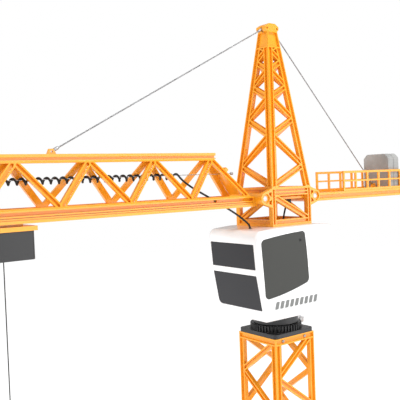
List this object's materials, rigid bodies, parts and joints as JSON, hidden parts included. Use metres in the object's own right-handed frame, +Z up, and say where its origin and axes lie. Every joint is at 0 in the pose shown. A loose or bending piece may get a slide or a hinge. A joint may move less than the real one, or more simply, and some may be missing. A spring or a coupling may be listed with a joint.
{
  "type": "toy tower crane",
  "caption": "Toy tower crane: cross base, lattice mast, slewing cab and head, trussed jib with curly cord, trolley, hoist block and hook, and counter-jib.",
  "frame": {"origin": "middle of the base hub's underside, on the mast's axis, where the crane stands on the floor", "axes": "+Z up the mast; the jib points along -X at rest and the counter-jib along +X; +Y is the cab's far side"},
  "size_m": [0.8345, 0.29, 1.2808],
  "materials": {
    "yellow": "gloss moulded plastic, yellow-orange",
    "white": "gloss white shell",
    "glazing": "dark charcoal window panels",
    "ballast": "concrete-grey plastic",
    "black": "black plastic",
    "cord": "black rubbery cord",
    "steel": "plain steel",
    "cell": "battery cells in a tray",
    "board": "circuit board",
    "foot": "rubber feet"
  },
  "bodies": {
    "base": {"base_hub": "yellow", "arm_bolts": "steel", "base_arms": "yellow", "foot_pads": "foot", "ballast_blocks": "ballast", "mast_section_1": "yellow", "mast_section_2": "yellow", "mast_section_3": "yellow", "mast_section_4": "yellow", "mast_screws": "steel", "slew_base": "black", "slew_ring": "black"},
    "superstructure": {"turntable": "black", "cab_shell": "white", "cab_floor": "white", "front_window_upper": "glazing", "front_window_lower": "glazing", "side_windows": "glazing", "rear_cover": "white", "cover_screws": "steel", "slew_motor": "black", "battery_pack": "cell", "circuit_board": "board", "head_side_frames": "yellow", "head_cross_frames": "yellow", "head_deck": "yellow", "wiring_box": "black", "head_spire": "yellow", "head_cap": "yellow", "root_pins": "steel", "root_yokes": "yellow", "jib_side_trusses": "yellow", "jib_lower_chords": "yellow", "jib_top_chord": "yellow", "jib_root_plate": "yellow", "jib_tip": "yellow", "guide_wire": "steel", "coil_lead": "cord", "feeder_cable": "cord", "curly_cord": "cord", "cord_grommet": "cord", "pendant_wires": "steel", "counter_jib_frame": "yellow", "counter_railings": "yellow", "counterweights": "ballast"},
    "slew_pinion": {"slew_pinion": "white"},
    "power_switch": {"power_switch": "black"},
    "trolley": {"trolley_frame": "yellow", "trolley_cover": "black", "trolley_motors": "steel", "hoist_rope": "cord"},
    "front_wheelset": {"front_wheelset": "black"},
    "rear_wheelset": {"rear_wheelset": "black"},
    "hoist_drum": {"hoist_drum": "white"},
    "hook_block": {"hook_cheeks": "yellow", "hook_block_pins": "steel"},
    "hook_sheave": {"hook_sheave": "black"},
    "hook": {"hook": "black"},
    "hook_latch": {"hook_latch": "steel"}
  },
  "joints": [
    {"name": "slew", "type": "hinge", "parent": "base", "child": "superstructure", "pos_m": [0, 0, 0.93], "axis": [0, 0, 1], "continuous": true},
    {"name": "slew_pinion_spin", "type": "hinge", "parent": "superstructure", "child": "slew_pinion", "pos_m": [0.0375, 0, 0.93], "axis": [0, 0, 1], "continuous": true},
    {"name": "power_switch_slide", "type": "slide", "parent": "superstructure", "child": "power_switch", "axis": [0, 1, 0], "range_m": [0, 0.0036]},
    {"name": "trolley_travel", "type": "slide", "parent": "superstructure", "child": "trolley", "axis": [-1, 0, 0], "range_m": [-0.125, 0.195], "deforming": ["curly_cord"]},
    {"name": "front_wheel_spin", "type": "hinge", "parent": "trolley", "child": "front_wheelset", "pos_m": [-0.357, 0, 1.0721], "axis": [0, 1, 0], "continuous": true},
    {"name": "rear_wheel_spin", "type": "hinge", "parent": "trolley", "child": "rear_wheelset", "pos_m": [-0.323, 0, 1.0721], "axis": [0, 1, 0], "continuous": true},
    {"name": "hoist", "type": "slide", "parent": "trolley", "child": "hook_block", "axis": [0, 0, -1], "range_m": [-0.105, 0.8], "deforming": ["hoist_rope"]},
    {"name": "drum_spin", "type": "hinge", "parent": "trolley", "child": "hoist_drum", "pos_m": [-0.341, 0, 1.046], "axis": [0, 1, 0], "continuous": true},
    {"name": "sheave_spin", "type": "hinge", "parent": "hook_block", "child": "hook_sheave", "pos_m": [-0.34, 0, 0.875], "axis": [0, 1, 0], "continuous": true},
    {"name": "hook_swivel", "type": "hinge", "parent": "hook_block", "child": "hook", "pos_m": [-0.34, 0, 0.835], "axis": [0, 0, 1], "continuous": true},
    {"name": "latch_hinge", "type": "hinge", "parent": "hook", "child": "hook_latch", "pos_m": [-0.338, 0, 0.844], "axis": [0, 1, 0], "range_deg": [0, 50], "stiffness_Nm_per_rad": 0.0004, "springref_deg": -17.19}
  ],
  "couplings": [
    {"joint": "slew_pinion_spin", "follows": "slew", "ratio": 4},
    {"joint": "front_wheel_spin", "follows": "trolley_travel", "rad_per_m": -222.22},
    {"joint": "rear_wheel_spin", "follows": "trolley_travel", "rad_per_m": -222.22},
    {"joint": "drum_spin", "follows": "hoist", "rad_per_m": 400},
    {"joint": "sheave_spin", "follows": "hoist", "rad_per_m": -166.67}
  ]
}
